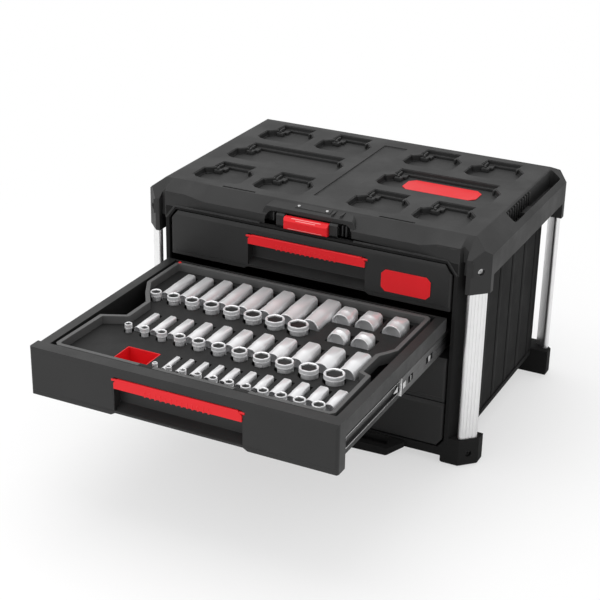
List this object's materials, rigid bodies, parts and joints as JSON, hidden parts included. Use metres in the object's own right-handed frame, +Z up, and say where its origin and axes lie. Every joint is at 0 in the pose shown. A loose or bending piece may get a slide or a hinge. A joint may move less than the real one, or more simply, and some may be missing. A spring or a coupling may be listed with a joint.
{
  "type": "socket organizer drawer box",
  "caption": "Stackable tool box with a stack of pull-out drawers on telescopic slides; the open drawer holds a tray of sockets.",
  "frame": {"origin": "on the floor, under the middle of the box's overall size with the second drawer open", "axes": "+Z up, -Y out of the drawer fronts, +X to the right as seen from the front"},
  "size_m": [0.564, 0.764, 0.361],
  "materials": {
    "case_plastic": "fine textured",
    "cover_plastic": "fine textured",
    "face_plastic": "fine textured",
    "drawer_plastic": "smooth moulded",
    "red_plastic": "satin moulded",
    "latch_plastic": "satin moulded",
    "post_aluminium": "extruded, satin",
    "zinc_steel": "zinc plated",
    "screw_steel": "zinc plated",
    "tray_plastic": "smooth",
    "insert_plastic": "soft matt",
    "socket_chrome": "satin chrome"
  },
  "bodies": {
    "case": {"base": "case_plastic", "base_latch_pin": "screw_steel", "case_shell": "case_plastic", "cover_corner_screws": "screw_steel", "cover_label": "red_plastic", "foot_corner_screws": "screw_steel", "latch_bracket": "latch_plastic", "latch_pin": "screw_steel", "post_front_left": "post_aluminium", "post_front_right": "post_aluminium", "post_rear_left": "post_aluminium", "post_rear_right": "post_aluminium", "slide_case_members_1": "zinc_steel", "slide_case_members_2": "zinc_steel", "slide_case_members_3": "zinc_steel", "slide_case_members_4": "zinc_steel", "slide_screws": "screw_steel", "top_cover": "cover_plastic"},
    "base_latch": {"base_latch": "latch_plastic"},
    "drawer_2": {"deep_sockets_front": "socket_chrome", "deep_sockets_middle": "socket_chrome", "deep_sockets_rear": "socket_chrome", "drawer_box_2": "drawer_plastic", "drawer_front_2": "face_plastic", "large_sockets": "socket_chrome", "parts_bin": "red_plastic", "slide_drawer_members_2": "zinc_steel", "standing_sockets_front": "socket_chrome", "standing_sockets_middle": "socket_chrome", "standing_sockets_rear": "socket_chrome", "tray_insert": "insert_plastic", "tray_rim": "tray_plastic"},
    "drawer_1": {"drawer_box_1": "drawer_plastic", "drawer_front_1": "face_plastic", "face_badge": "red_plastic", "slide_drawer_members_1": "zinc_steel"},
    "drawer_3": {"drawer_box_3": "drawer_plastic", "drawer_front_3": "face_plastic", "slide_drawer_members_3": "zinc_steel"},
    "drawer_4": {"drawer_box_4": "drawer_plastic", "drawer_front_4": "face_plastic", "slide_drawer_members_4": "zinc_steel"},
    "pull_latch_1": {"pull_latch_1": "red_plastic"},
    "pull_latch_2": {"pull_latch_2": "red_plastic"},
    "pull_latch_3": {"pull_latch_3": "red_plastic"},
    "pull_latch_4": {"pull_latch_4": "red_plastic"},
    "middle_members_1": {"slide_middle_members_1": "zinc_steel"},
    "middle_members_2": {"slide_middle_members_2": "zinc_steel"},
    "middle_members_3": {"slide_middle_members_3": "zinc_steel"},
    "middle_members_4": {"slide_middle_members_4": "zinc_steel"},
    "top_latch": {"top_latch": "red_plastic"}
  },
  "joints": [
    {"name": "drawer_1_slide", "type": "slide", "parent": "case", "child": "drawer_1", "axis": [0, -1, 0], "range_m": [0, 0.373]},
    {"name": "middle_members_1_slide", "type": "slide", "parent": "case", "child": "middle_members_1", "axis": [0, -1, 0], "range_m": [0, 0.1865]},
    {"name": "pull_latch_1_swing", "type": "hinge", "parent": "drawer_1", "child": "pull_latch_1", "pos_m": [0, -0.006, 0.303], "axis": [-1, 0, 0], "range_deg": [0, 14], "stiffness_Nm_per_rad": 0.05, "springref_deg": -5.73},
    {"name": "drawer_2_slide", "type": "slide", "parent": "case", "child": "drawer_2", "axis": [0, -1, 0], "range_m": [-0.373, 0]},
    {"name": "middle_members_2_slide", "type": "slide", "parent": "case", "child": "middle_members_2", "axis": [0, -1, 0], "range_m": [-0.1865, 0]},
    {"name": "pull_latch_2_swing", "type": "hinge", "parent": "drawer_2", "child": "pull_latch_2", "pos_m": [0, -0.379, 0.2295], "axis": [-1, 0, 0], "range_deg": [0, 14], "stiffness_Nm_per_rad": 0.05, "springref_deg": -5.73},
    {"name": "drawer_3_slide", "type": "slide", "parent": "case", "child": "drawer_3", "axis": [0, -1, 0], "range_m": [0, 0.373]},
    {"name": "middle_members_3_slide", "type": "slide", "parent": "case", "child": "middle_members_3", "axis": [0, -1, 0], "range_m": [0, 0.1865]},
    {"name": "pull_latch_3_swing", "type": "hinge", "parent": "drawer_3", "child": "pull_latch_3", "pos_m": [0, -0.006, 0.156], "axis": [-1, 0, 0], "range_deg": [0, 14], "stiffness_Nm_per_rad": 0.05, "springref_deg": -5.73},
    {"name": "drawer_4_slide", "type": "slide", "parent": "case", "child": "drawer_4", "axis": [0, -1, 0], "range_m": [0, 0.373]},
    {"name": "middle_members_4_slide", "type": "slide", "parent": "case", "child": "middle_members_4", "axis": [0, -1, 0], "range_m": [0, 0.1865]},
    {"name": "pull_latch_4_swing", "type": "hinge", "parent": "drawer_4", "child": "pull_latch_4", "pos_m": [0, -0.006, 0.0825], "axis": [-1, 0, 0], "range_deg": [0, 14], "stiffness_Nm_per_rad": 0.05, "springref_deg": -5.73},
    {"name": "top_latch_swing", "type": "hinge", "parent": "case", "child": "top_latch", "pos_m": [0, -0.001, 0.3425], "axis": [-1, 0, 0], "range_deg": [0, 50]},
    {"name": "base_latch_swing", "type": "hinge", "parent": "case", "child": "base_latch", "pos_m": [0, -0.015, 0.012], "axis": [-1, 0, 0], "range_deg": [0, 35]}
  ],
  "couplings": [
    {"joint": "middle_members_1_slide", "follows": "drawer_1_slide", "ratio": 0.5},
    {"joint": "middle_members_2_slide", "follows": "drawer_2_slide", "ratio": 0.5},
    {"joint": "middle_members_3_slide", "follows": "drawer_3_slide", "ratio": 0.5},
    {"joint": "middle_members_4_slide", "follows": "drawer_4_slide", "ratio": 0.5}
  ]
}
